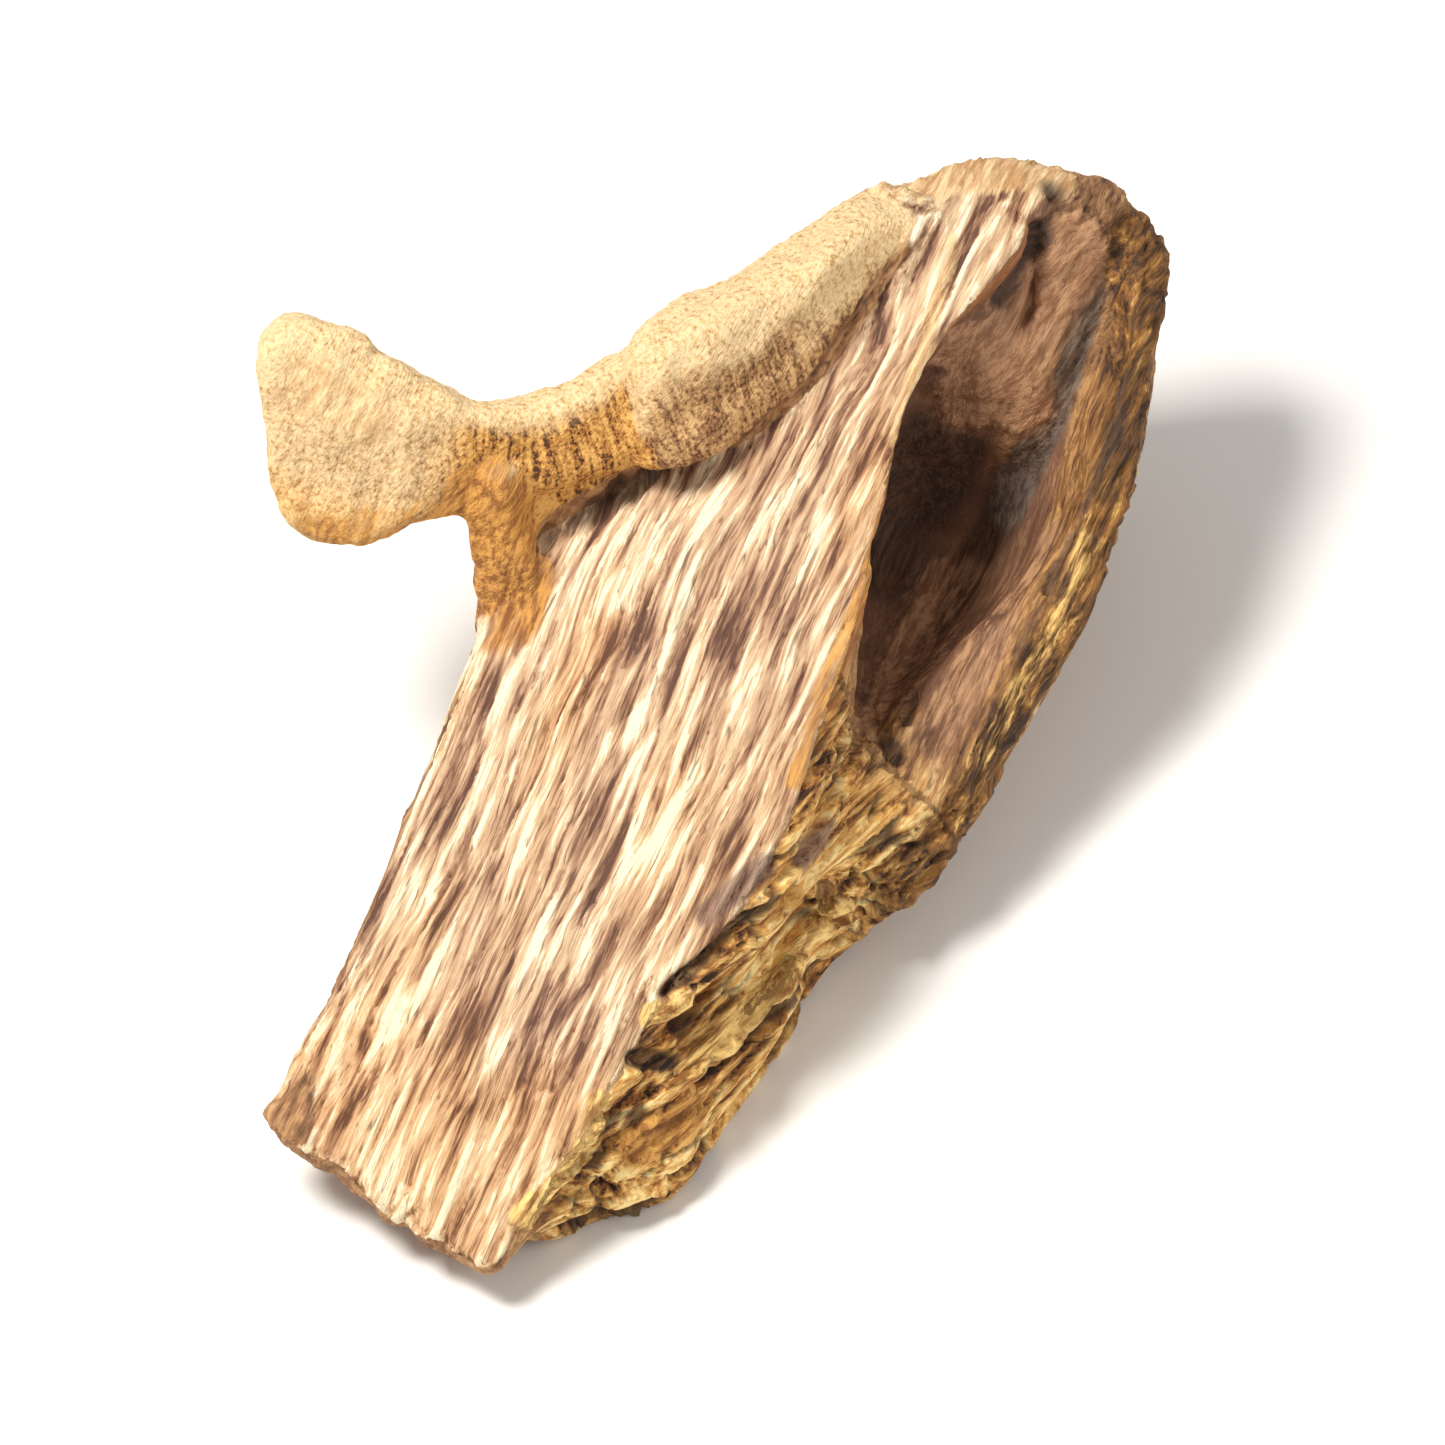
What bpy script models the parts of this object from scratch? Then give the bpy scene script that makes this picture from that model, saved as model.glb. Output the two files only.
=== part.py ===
"""Agarwood piece: one hewn splinter of resin-streaked wood, about 100 mm long.

A streaked plate slopes down to a thin front end. Its right side is a broken, chipped wall, and
behind that the wood is hollowed out beneath the plate, up to a thin rim. A pale horn springs
from the plate's far end, runs over its left side, and ends in a flared paddle.

Frame: metres, +Z up, the floor at z = 0, +Y along the grain towards the far end, +X to the
right. The shapes below are written in millimetres and turned to metres as meshes are made.
"""
import math
from dataclasses import astuple, dataclass

import bmesh
import bpy
import numpy as np
from mathutils import Matrix, Vector, noise

OBJECT_NAME = "agarwood_piece"
MM = 0.001

# Driving sizes, in millimetres
RING_STEPS = 3
STATION_SPACING = 1.6
CORNER_TENSION = 0.36
VOXEL = 0.62
SOFTEN_SHARE = 0.5
SOFTEN_TIMES = 3
TRIANGLE_GOAL = 9600
FLOOR_SNAP = 0.12

# Relief along the grain, in millimetres, and the place in the noise that each kind starts from
FLUTE_HEIGHT = 0.55
FLUTE_WIDTH = 2.9
FLUTE_LENGTH = 26.0
FLUTE_SEED = 3.7
FIBRE_HEIGHT = 0.25
FIBRE_WIDTH = 1.5
FIBRE_LENGTH = 11.0
FIBRE_SEED = 11.3
LUMP_HEIGHT = 0.55
LUMP_SIZE = 9.0
LUMP_SEED = (5.1, 2.3, 8.9)

WOOD_COLOUR = (0.58, 0.42, 0.26, 1.0)
WOOD_ROUGHNESS = 0.82


@dataclass
class Section:
    """One cross-section of the wood at a place along the grain, as (x, z) pairs in mm."""
    y: float
    left_edge: tuple
    left_crown: tuple
    middle_crown: tuple
    right_crown: tuple
    ridge: tuple
    under_ridge: tuple
    slope: tuple
    rim: tuple
    flank: tuple
    right_foot: tuple
    middle_foot: tuple
    left_foot: tuple
    left_flank: tuple


WOOD_SECTIONS = [
    Section(-54.4, (7.6, 5.6), (8.6, 5.7), (9.6, 5.6), (10.6, 5.5), (11.4, 5.2), (11.6, 4.8),
            (11.6, 4.4), (11.4, 4.0), (11.0, 3.6), (10.0, 3.4), (9.0, 3.4), (8.0, 3.6), (7.4, 4.4)),
    Section(-52.6, (-1.5, 6.9), (2.0, 6.9), (5.0, 6.6), (9.0, 6.4), (11.8, 5.9), (12.2, 5.0),
            (12.2, 4.4), (12.0, 3.8), (11.2, 3.0), (9.5, 2.6), (5.0, 3.2), (1.0, 4.2), (-1.6, 5.6)),
    Section(-51.3, (-8.5, 8.4), (-4.0, 8.2), (2.0, 7.6), (8.5, 6.9), (12.0, 6.3), (12.4, 5.2),
            (12.4, 4.4), (12.2, 3.6), (11.4, 2.7), (9.5, 2.2), (2.0, 3.4), (-5.0, 5.4), (-8.6, 7.0)),
    Section(-48.0, (-8.7, 9.0), (-4.0, 9.2), (2.0, 9.0), (9.0, 8.8), (12.9, 8.2), (13.3, 6.8),
            (13.2, 5.2), (12.9, 3.4), (12.3, 2.0), (10.0, 1.0), (2.0, 1.8), (-5.0, 4.2), (-8.9, 7.2)),
    Section(-44.0, (-8.7, 10.0), (-4.0, 10.5), (2.0, 10.6), (10.0, 10.7), (13.9, 10.2), (14.4, 8.4),
            (14.8, 6.0), (15.0, 3.6), (15.0, 1.4), (13.0, 0.0), (3.0, 0.4), (-5.0, 3.2), (-9.0, 7.6)),
    Section(-40.5, (-8.7, 10.9), (-4.0, 11.6), (2.0, 12.0), (10.0, 12.4), (14.1, 12.0), (15.2, 9.8),
            (17.2, 7.0), (19.0, 4.0), (19.6, 1.4), (18.0, 0.0), (4.0, -0.6), (-5.0, 2.2), (-9.2, 7.6)),
    Section(-32.0, (-8.8, 13.0), (-4.0, 14.2), (3.0, 15.0), (10.5, 16.2), (15.4, 16.4), (17.4, 13.6),
            (19.0, 9.8), (20.0, 5.4), (20.6, 1.8), (19.0, -0.4), (5.0, -1.2), (-4.5, 1.4), (-9.4, 8.0)),
    Section(-22.0, (-9.2, 15.5), (-4.0, 17.0), (4.0, 18.4), (12.5, 19.8), (19.0, 20.0), (20.4, 16.6),
            (21.2, 11.8), (21.2, 6.6), (20.7, 2.2), (19.5, -0.6), (5.0, -1.5), (-4.0, 1.2), (-9.8, 9.0)),
    Section(-13.0, (-10.0, 17.8), (-5.0, 19.4), (3.5, 20.8), (12.5, 22.1), (18.8, 22.2), (20.6, 18.0),
            (21.8, 12.6), (22.2, 7.2), (21.4, 2.8), (20.0, -0.5), (6.0, -1.5), (-4.0, 1.2), (-10.4, 10.0)),
    Section(-9.5, (-10.2, 18.6), (-5.0, 20.2), (3.5, 21.7), (12.3, 22.9), (18.4, 23.0), (20.3, 17.2),
            (23.6, 11.4), (26.2, 7.4), (23.8, 3.2), (20.0, -0.4), (6.0, -1.5), (-4.0, 1.2), (-10.7, 10.4)),
    Section(-4.0, (-10.5, 20.2), (-5.0, 21.8), (3.0, 23.2), (12.0, 24.2), (17.8, 24.2), (19.6, 16.4),
            (25.0, 12.6), (28.2, 9.4), (25.6, 4.0), (20.0, -0.4), (6.0, -1.5), (-4.0, 1.4), (-11.0, 11.0)),
    Section(4.0, (-10.8, 22.0), (-5.0, 23.8), (2.5, 25.2), (11.0, 26.2), (16.7, 26.3), (19.2, 16.4),
            (25.4, 14.8), (29.2, 12.4), (26.0, 5.0), (19.5, -0.4), (6.0, -1.5), (-4.0, 1.8), (-11.4, 12.0)),
    Section(12.0, (-9.8, 24.0), (-5.0, 25.6), (2.5, 27.2), (10.5, 28.2), (15.9, 28.2), (19.0, 17.6),
            (26.4, 17.4), (30.2, 15.2), (26.0, 6.4), (18.6, -0.4), (6.0, -1.5), (-3.4, 2.2), (-10.8, 13.0)),
    Section(20.0, (-6.6, 25.8), (-2.5, 27.6), (3.5, 29.2), (10.5, 30.2), (15.8, 30.2), (18.8, 23.0),
            (26.8, 19.9), (30.6, 17.9), (26.0, 8.0), (18.0, 0.0), (6.0, -1.0), (-2.0, 3.0), (-8.2, 14.6)),
    Section(27.0, (-2.0, 28.0), (1.0, 29.6), (5.0, 31.0), (11.0, 31.9), (16.2, 31.8), (19.4, 28.0),
            (26.2, 22.8), (29.4, 20.8), (25.4, 9.6), (17.4, 1.0), (7.0, 0.4), (1.0, 5.0), (-3.6, 16.0)),
    Section(33.0, (3.0, 30.6), (5.0, 31.8), (8.4, 32.8), (12.4, 33.3), (16.2, 33.0), (19.4, 30.2),
            (24.8, 25.0), (27.8, 22.9), (24.6, 11.4), (17.0, 3.0), (10.0, 3.0), (5.0, 8.0), (1.8, 18.0)),
    Section(38.0, (7.6, 32.4), (9.4, 33.1), (12.0, 33.6), (14.4, 33.5), (16.4, 32.9), (19.4, 30.4),
            (23.8, 26.6), (26.2, 24.2), (23.6, 14.0), (17.4, 6.4), (12.2, 6.6), (8.4, 12.0), (6.6, 21.0)),
    Section(42.0, (12.2, 32.2), (13.4, 32.6), (15.0, 32.4), (16.6, 31.9), (17.8, 31.2), (19.8, 29.6),
            (22.8, 27.2), (24.8, 24.8), (22.6, 17.0), (18.6, 11.0), (15.4, 12.0), (13.0, 17.0), (11.6, 24.0)),
    Section(45.2, (16.2, 28.6), (17.0, 29.2), (18.0, 29.2), (19.0, 28.8), (19.8, 28.3), (20.8, 27.6),
            (21.8, 26.8), (22.8, 25.2), (22.0, 21.0), (20.0, 18.4), (18.2, 18.6), (16.8, 21.0), (16.0, 25.0)),
]


@dataclass
class Hollow:
    """One cross-section of the space cut out beneath the plate, as (x, z) pairs in mm."""
    y: float
    sky_left: tuple
    lip: tuple
    wall_high: tuple
    wall_low: tuple
    floor_left: tuple
    floor_right: tuple
    rim_inside: tuple
    sky_right: tuple


HOLLOW_SECTIONS = [
    Hollow(-6.0, (18.8, 30.0), (18.9, 23.8), (19.0, 20.0), (19.1, 18.0),
           (19.3, 17.2), (19.9, 17.0), (20.8, 18.2), (21.6, 30.0)),
    Hollow(-2.0, (18.2, 32.0), (18.2, 25.2), (18.0, 19.5), (18.0, 15.8),
           (18.4, 14.4), (19.2, 14.0), (20.8, 15.8), (23.0, 30.0)),
    Hollow(2.0, (17.6, 34.0), (17.6, 27.0), (16.4, 21.0), (16.0, 15.0),
           (16.8, 12.2), (18.4, 12.0), (20.6, 15.4), (26.0, 30.0)),
    Hollow(8.0, (16.8, 36.0), (16.8, 29.0), (13.8, 23.0), (13.0, 15.6),
           (14.6, 11.0), (17.8, 10.4), (22.0, 15.8), (29.0, 31.0)),
    Hollow(14.0, (16.2, 38.0), (16.2, 31.0), (11.8, 24.6), (10.6, 16.0),
           (12.8, 10.2), (17.8, 9.4), (24.8, 17.2), (31.0, 32.0)),
    Hollow(20.0, (16.1, 40.0), (16.1, 33.0), (10.6, 25.6), (9.4, 17.0),
           (12.0, 10.4), (18.0, 9.6), (26.4, 19.8), (32.0, 33.0)),
    Hollow(24.5, (16.2, 40.0), (16.2, 34.0), (11.6, 27.4), (10.8, 20.4),
           (13.8, 15.6), (18.8, 12.6), (26.4, 21.6), (31.5, 34.0)),
    Hollow(27.5, (16.4, 42.0), (16.4, 35.0), (14.2, 29.4), (14.2, 26.0),
           (16.6, 24.2), (21.0, 17.0), (25.9, 22.4), (31.0, 35.0)),
    Hollow(33.0, (16.8, 42.0), (16.8, 36.0), (16.0, 31.8), (16.2, 29.4),
           (18.0, 28.0), (22.2, 21.4), (24.8, 24.4), (29.4, 36.0)),
    Hollow(38.0, (17.0, 42.0), (17.0, 37.0), (16.9, 33.4), (17.1, 31.0),
           (18.3, 29.4), (21.4, 24.8), (23.6, 26.2), (27.6, 38.0)),
    Hollow(42.4, (18.6, 42.0), (18.6, 38.0), (18.6, 34.0), (18.8, 32.0),
           (19.4, 31.0), (20.6, 29.2), (21.8, 29.0), (25.6, 40.0)),
]


@dataclass
class Girth:
    """One place along a bar: its top edge, its bottom edge and its thickness, in mm."""
    crest: tuple
    sole: tuple
    thickness: float


HORN_GIRTHS = [
    Girth((7.2, 33.7, 34.3), (8.1, 33.0, 27.5), 6.5),
    Girth((4.6, 29.5, 35.8), (6.2, 25.9, 28.0), 7.0),
    Girth((2.3, 24.0, 36.4), (4.8, 19.9, 28.0), 7.0),
    Girth((-0.7, 18.7, 36.5), (2.4, 13.8, 27.4), 7.0),
    Girth((-3.3, 13.8, 36.8), (0.1, 9.0, 27.2), 7.2),
    Girth((-5.2, 10.8, 36.2), (-2.0, 6.6, 26.8), 7.2),
    Girth((-6.6, 10.5, 34.0), (-4.0, 7.2, 27.1), 4.2),
    Girth((-9.0, 7.0, 33.3), (-6.8, 3.4, 26.7), 4.2),
    Girth((-11.3, 4.1, 33.1), (-9.8, 0.7, 26.5), 4.2),
    Girth((-14.1, 1.7, 33.6), (-13.2, -2.4, 26.4), 4.4),
    Girth((-17.5, 0.7, 35.4), (-16.1, -5.9, 26.8), 5.0),
    Girth((-20.7, 0.4, 37.0), (-18.2, -8.3, 26.6), 5.2),
    Girth((-24.4, 0.4, 39.2), (-20.6, -10.4, 26.6), 5.2),
    Girth((-27.8, -0.7, 40.8), (-22.9, -11.2, 26.8), 5.6),
    Girth((-30.0, -2.4, 40.8), (-25.4, -10.6, 28.0), 5.6),
    Girth((-30.8, -3.6, 39.8), (-27.4, -9.4, 30.2), 4.2),
]

# The orange strut beneath the horn's neck, and the web set back behind it
STRUT_GIRTHS = [
    Girth((-12.0, -3.4, 16.5), (-5.6, -2.2, 16.5), 6.4),
    Girth((-12.4, -3.9, 21.0), (-7.6, -2.7, 21.6), 5.0),
    Girth((-13.6, -3.0, 25.0), (-9.8, -1.8, 25.8), 4.2),
    Girth((-14.4, -1.4, 30.0), (-10.4, -0.4, 30.6), 4.4),
]
WEB_GIRTHS = [
    Girth((-12.4, 0.4, 30.0), (-10.0, -0.8, 17.0), 3.2),
    Girth((-8.8, 4.8, 30.6), (-7.4, 3.0, 19.0), 3.2),
    Girth((-5.4, 9.2, 31.0), (-3.8, 7.6, 21.0), 3.6),
    Girth((-2.0, 13.8, 32.0), (-0.4, 12.0, 23.0), 4.4),
]
CORNER_POWER = 5.5
GIRTH_POINTS = 28


@dataclass
class Chip:
    """A splinter broken away along a line: its two ends, its depth, height and roll."""
    start: tuple
    end: tuple
    depth: float
    height: float
    roll: float


CHIPS = [
    Chip((18.2, -36.0, 12.9), (21.9, -14.0, 8.9), 4.2, 4.6, -12),
    Chip((17.4, -30.5, 18.3), (20.3, -20.0, 21.4), 3.2, 3.4, 14),
    Chip((13.6, -38.6, 13.9), (16.4, -32.4, 16.4), 2.6, 2.4, 20),
    Chip((20.2, -39.5, 8.2), (21.6, -26.0, 6.2), 3.4, 2.0, 24),
    Chip((14.0, -49.0, 1.8), (19.6, -41.5, 1.4), 3.4, 3.4, 0),
    Chip((-12.0, -54.6, 8.0), (-2.0, -55.2, 7.0), 6.8, 9.0, 0),
    Chip((0.6, -55.6, 7.0), (4.4, -53.6, 7.0), 3.0, 9.0, 0),
    Chip((5.6, -54.0, 5.4), (8.4, -56.2, 5.4), 2.4, 8.0, 0),
]


@dataclass
class Cleft:
    """One place along the narrow cleft at the plate's far corner, in mm."""
    x: float
    y: float
    width: float
    depth: float


CLEFT_STOPS = [
    Cleft(16.9, 25.0, 1.2, 9.0),
    Cleft(17.2, 29.0, 2.2, 10.5),
    Cleft(17.3, 33.0, 2.6, 9.5),
    Cleft(16.2, 36.2, 2.4, 7.5),
    Cleft(13.0, 37.2, 1.1, 3.2),
    Cleft(9.6, 37.0, 0.7, 1.6),
]
CLEFT_TOP = 40.0
CLEFT_SURFACE = 33.2
CLEFT_TAPER = 0.4


def start_fresh():
    """Empty the file and make the two collections."""
    for thing in list(bpy.data.objects):
        bpy.data.objects.remove(thing, do_unlink=True)
    made = []
    for name in (OBJECT_NAME, "cutters"):
        collection = bpy.data.collections.new(name)
        bpy.context.scene.collection.children.link(collection)
        made.append(collection)
    return made


def link(name, mesh, collection):
    """Put a mesh in the scene as an object."""
    made = bpy.data.objects.new(name, mesh)
    collection.objects.link(made)
    return made


def mark_as_cutter(thing):
    """A shape that only cuts or joins isn't rendered."""
    thing.hide_render = True
    thing.display_type = "WIRE"


def loft_mesh(name, rings):
    """A closed mesh through rings of the same number of points, with flat ends."""
    shape = bmesh.new()
    rows = [[shape.verts.new(Vector(point) * MM) for point in ring] for ring in rings]
    count = len(rows[0])
    for row, after in zip(rows, rows[1:]):
        for index in range(count):
            following = (index + 1) % count
            shape.faces.new((row[index], row[following], after[following], after[index]))
    shape.faces.new(rows[0])
    shape.faces.new(rows[-1])
    bmesh.ops.recalc_face_normals(shape, faces=shape.faces)
    mesh = bpy.data.meshes.new(name)
    shape.to_mesh(mesh)
    shape.free()
    return mesh


def rounded_ring(points):
    """More points around a closed outline, bending gently at each given corner."""
    outline = np.array(points, float)
    slopes = (np.roll(outline, -1, axis=0) - np.roll(outline, 1, axis=0)) * CORNER_TENSION
    ends, end_slopes = np.roll(outline, -1, axis=0), np.roll(slopes, -1, axis=0)
    ring = []
    for start, end, leaving, arriving in zip(outline, ends, slopes, end_slopes):
        for step in range(RING_STEPS):
            ring.append(hermite(start, end, leaving, arriving, step / RING_STEPS))
    return np.array(ring)


def hermite(start, end, leaving, arriving, share):
    """A point on the smooth curve from start to end."""
    square, cube = share ** 2, share ** 3
    return ((2 * cube - 3 * square + 1) * start + (cube - 2 * square + share) * leaving
            + (3 * square - 2 * cube) * end + (cube - square) * arriving)


def sections_to_rings(sections):
    """Fill in rings between the given cross-sections, smoothly along the grain."""
    places = np.array([section.y for section in sections])
    given = np.array([rounded_ring(astuple(section)[1:]) for section in sections])
    slopes = np.gradient(given, places, axis=0)
    rings = []
    for index in range(len(places) - 1):
        gap = places[index + 1] - places[index]
        steps = max(1, round(gap / STATION_SPACING))
        for step in range(steps):
            share = step / steps
            leaving, arriving = slopes[index] * gap, slopes[index + 1] * gap
            ring = hermite(given[index], given[index + 1], leaving, arriving, share)
            rings.append([(x, places[index] + gap * share, z) for x, z in ring])
    rings.append([(x, places[-1], z) for x, z in given[-1]])
    return rings


def girth_rings(girths):
    """Rounded oblong rings along a bent bar, each from its own crest to its own sole."""
    middles = [(Vector(girth.crest) + Vector(girth.sole)) / 2 for girth in girths]
    tangents = np.gradient(np.array(middles), axis=0)
    rings = []
    for girth, middle, tangent in zip(girths, middles, tangents):
        tall = (Vector(girth.crest) - Vector(girth.sole)) / 2
        across = tall.cross(Vector(tangent)).normalized() * (girth.thickness / 2)
        rings.append([oblong_point(middle, across, tall, index) for index in range(GIRTH_POINTS)])
    return rings


def oblong_point(middle, across, tall, index):
    """A point on a rounded oblong with the given half sizes."""
    angle = 2 * math.pi * index / GIRTH_POINTS
    sideways = math.copysign(abs(math.cos(angle)) ** (2 / CORNER_POWER), math.cos(angle))
    upwards = math.copysign(abs(math.sin(angle)) ** (2 / CORNER_POWER), math.sin(angle))
    return middle + across * sideways + tall * upwards


def cleft_rings():
    """Four-cornered wedges along the cleft, from above the wood down to its depth."""
    headings = np.gradient(np.array([(stop.x, stop.y) for stop in CLEFT_STOPS]), axis=0)
    rings = []
    for stop, heading in zip(CLEFT_STOPS, headings):
        aside = Vector((heading[1], -heading[0], 0)).normalized() * (stop.width / 2)
        high = Vector((stop.x, stop.y, CLEFT_TOP))
        low = Vector((stop.x, stop.y, CLEFT_SURFACE - stop.depth))
        rings.append([high - aside, high + aside, low + aside * CLEFT_TAPER, low - aside * CLEFT_TAPER])
    return rings


def chip_rings(chip):
    """The two ends of the block that breaks a splinter away."""
    start, end = Vector(chip.start), Vector(chip.end)
    along = (end - start).normalized()
    turn = Matrix.Rotation(math.radians(chip.roll), 3, along)
    inwards = turn @ along.cross(Vector((0, 0, 1))).normalized() * (chip.depth / 2)
    upwards = turn @ inwards.cross(along).normalized() * (chip.height / 2)
    corners = [inwards + upwards, upwards - inwards, -inwards - upwards, inwards - upwards]
    return [[place + corner for corner in corners] for place in (start, end)]


def combine(target, other, operation):
    """Cut or join another solid into the target, as a live modifier."""
    step = target.modifiers.new(other.name, "BOOLEAN")
    step.operation = operation
    step.solver = "EXACT"
    step.object = other


def freeze(thing):
    """Replace an object's mesh by what its modifiers make of it."""
    seen = thing.evaluated_get(bpy.context.evaluated_depsgraph_get())
    made = bpy.data.meshes.new_from_object(seen)
    thing.modifiers.clear()
    thing.data = made


def grain_noise(point, width, length, seed):
    """Smooth noise drawn out along the grain, from about -1 to 1."""
    return noise.noise(Vector((point.x / width + seed, point.y / length, point.z / width - seed)))


def relief_at(point):
    """How far the worn surface stands proud at a point, in mm."""
    flutes = FLUTE_HEIGHT * grain_noise(point, FLUTE_WIDTH, FLUTE_LENGTH, FLUTE_SEED)
    fibres = FIBRE_HEIGHT * grain_noise(point, FIBRE_WIDTH, FIBRE_LENGTH, FIBRE_SEED)
    lumps = LUMP_HEIGHT * noise.noise(point / LUMP_SIZE + Vector(LUMP_SEED))
    return flutes + fibres + lumps


def carve_relief(mesh):
    """Move each point of the wood along its normal by the relief there."""
    moves = [vertex.normal * relief_at(vertex.co / MM) * MM for vertex in mesh.vertices]
    for vertex, move in zip(mesh.vertices, moves):
        vertex.co += move


def flatten_foot(mesh, snap=0.0):
    """Hew off what reaches below the floor, so the wood rests on a flat face."""
    for vertex in mesh.vertices:
        if vertex.co.z < snap * MM:
            vertex.co.z = 0.0


def remesh(thing):
    """Rebuild the surface evenly, so the joins and cuts become one skin."""
    step = thing.modifiers.new("even_skin", "REMESH")
    step.mode = "VOXEL"
    step.voxel_size = VOXEL * MM
    freeze(thing)


def soften(thing):
    """Take the steps of the even skin off its ridges."""
    step = thing.modifiers.new("soften", "SMOOTH")
    step.factor = SOFTEN_SHARE
    step.iterations = SOFTEN_TIMES
    freeze(thing)


def thin_out(thing):
    """Keep the triangles that the shape needs."""
    thing.modifiers.new("triangles", "TRIANGULATE")
    freeze(thing)
    step = thing.modifiers.new("fewer", "DECIMATE")
    step.ratio = TRIANGLE_GOAL / len(thing.data.polygons)
    step.use_collapse_triangulate = True
    freeze(thing)


def settle_origin(mesh):
    """Put the origin on the floor under the middle of the wood's length and width."""
    places = [vertex.co for vertex in mesh.vertices]
    middle_x = (min(place.x for place in places) + max(place.x for place in places)) / 2
    middle_y = (min(place.y for place in places) + max(place.y for place in places)) / 2
    mesh.transform(Matrix.Translation((-middle_x, -middle_y, 0)))


def wood_material():
    """The tan of the weathered wood."""
    material = bpy.data.materials.new("agarwood")
    material.use_nodes = True
    shader = material.node_tree.nodes["Principled BSDF"]
    shader.inputs["Base Color"].default_value = WOOD_COLOUR
    shader.inputs["Roughness"].default_value = WOOD_ROUGHNESS
    shader.inputs["Metallic"].default_value = 0.0
    return material


def build():
    """Loft the wood, hollow it, join the horn, break the chips, and carve the relief."""
    parts, cutters = start_fresh()
    wood = link(OBJECT_NAME, loft_mesh(OBJECT_NAME, sections_to_rings(WOOD_SECTIONS)), parts)
    tools = [
        ("hollow", sections_to_rings(HOLLOW_SECTIONS), "DIFFERENCE"),
        ("cleft", cleft_rings(), "DIFFERENCE"),
        ("web", girth_rings(WEB_GIRTHS), "UNION"),
        ("strut", girth_rings(STRUT_GIRTHS), "UNION"),
        ("horn", girth_rings(HORN_GIRTHS), "UNION"),
    ]
    tools += [(f"chip_{index}", chip_rings(chip), "DIFFERENCE") for index, chip in enumerate(CHIPS)]
    for name, rings, operation in tools:
        tool = link(name, loft_mesh(name, rings), cutters)
        mark_as_cutter(tool)
        combine(wood, tool, operation)
    freeze(wood)
    remesh(wood)
    soften(wood)
    carve_relief(wood.data)
    flatten_foot(wood.data)
    thin_out(wood)
    flatten_foot(wood.data, FLOOR_SNAP)
    settle_origin(wood.data)
    wood.data.materials.clear()
    wood.data.materials.append(wood_material())
    return wood


if __name__ == "__main__":
    build()
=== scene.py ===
"""The looks of one hewn piece of resin-streaked agarwood, on a pale studio floor.

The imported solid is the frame. Its surface is copied and rebuilt in small faces that are longer
along the grain than across it. The copy is split, fluted and chipped as weathered wood is, and
painted by where each point lies: on the streaked plate, the horn, the hollow, its rim, or the
broken wall. Places are in millimetres in the part's own frame, and meshes are in metres.
"""
import math
from dataclasses import dataclass

import bmesh
import bpy
import numpy as np
from mathutils import Matrix, Vector, noise


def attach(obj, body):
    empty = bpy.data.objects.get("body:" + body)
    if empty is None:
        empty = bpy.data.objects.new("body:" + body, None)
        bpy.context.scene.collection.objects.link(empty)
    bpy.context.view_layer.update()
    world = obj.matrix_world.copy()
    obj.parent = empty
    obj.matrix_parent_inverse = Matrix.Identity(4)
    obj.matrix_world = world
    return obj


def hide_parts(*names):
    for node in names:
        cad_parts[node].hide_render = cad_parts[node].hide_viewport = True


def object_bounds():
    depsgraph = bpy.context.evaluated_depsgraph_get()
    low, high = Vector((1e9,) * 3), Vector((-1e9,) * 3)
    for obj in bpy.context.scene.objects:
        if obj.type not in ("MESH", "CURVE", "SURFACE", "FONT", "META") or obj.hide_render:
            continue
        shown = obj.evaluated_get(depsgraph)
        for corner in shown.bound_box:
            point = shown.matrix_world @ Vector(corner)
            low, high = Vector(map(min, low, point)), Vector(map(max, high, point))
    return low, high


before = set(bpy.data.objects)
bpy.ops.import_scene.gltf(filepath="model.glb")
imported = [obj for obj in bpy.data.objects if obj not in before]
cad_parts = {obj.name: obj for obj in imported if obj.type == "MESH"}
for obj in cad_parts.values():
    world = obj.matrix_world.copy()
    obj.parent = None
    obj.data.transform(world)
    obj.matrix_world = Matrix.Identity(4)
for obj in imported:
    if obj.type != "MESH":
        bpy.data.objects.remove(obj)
CAD_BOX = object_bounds()

MM = 0.001
NODE = "agarwood_piece"

# The fine skin: its step across the grain in mm, and how much longer the steps along the grain are
SKIN_STEP = 0.29
GRAIN_STRETCH = 2.4
EASE_SHARE = 0.5
EASE_TIMES = 4
# Below this height in mm the relief fades, so that the foot stays flat
FOOT_HEIGHT = 0.35
# The most triangles that are left in the end
TRIANGLES = 190_000
# Spreads the shards' middles out, so that each gets a height of its own
SHARD_SHUFFLE = 7.3

# The plate's top along its middle, as places along the grain and heights, and its sideways slope
PLATE_PLACES = (-50.0, -39.6, -27.6, -17.6, -8.6, 0.4, 8.4, 16.4, 24.4, 31.4, 37.4, 42.4, 46.4)
PLATE_HEIGHTS = (5.6, 10.6, 15.2, 18.6, 21.0, 23.3, 25.4, 27.3, 29.3, 31.2, 32.8, 33.4, 32.0)
PLATE_MIDDLE = 3.2
PLATE_SLOPE = 0.16

# The middle lines of the horn and of the hollow's rim
HORN_LINE = [(7.9, 37.8, 30.9), (3.8, 26.4, 32.2), (-1.4, 15.9, 32.0), (-5.1, 13.3, 30.5),
             (-10.3, 6.9, 29.8), (-16.6, 1.9, 31.1), (-22.3, -0.6, 32.9), (-28.9, -2.1, 35.0)]
RIM_LINE = [(26.4, -5.0, 7.8), (28.4, 0.5, 9.8), (29.4, 8.4, 12.8), (30.0, 16.4, 15.6),
            (30.2, 24.4, 18.4), (29.0, 31.4, 21.2), (27.6, 37.4, 23.4), (25.8, 42.4, 25.0),
            (22.6, 46.4, 27.0)]
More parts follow.
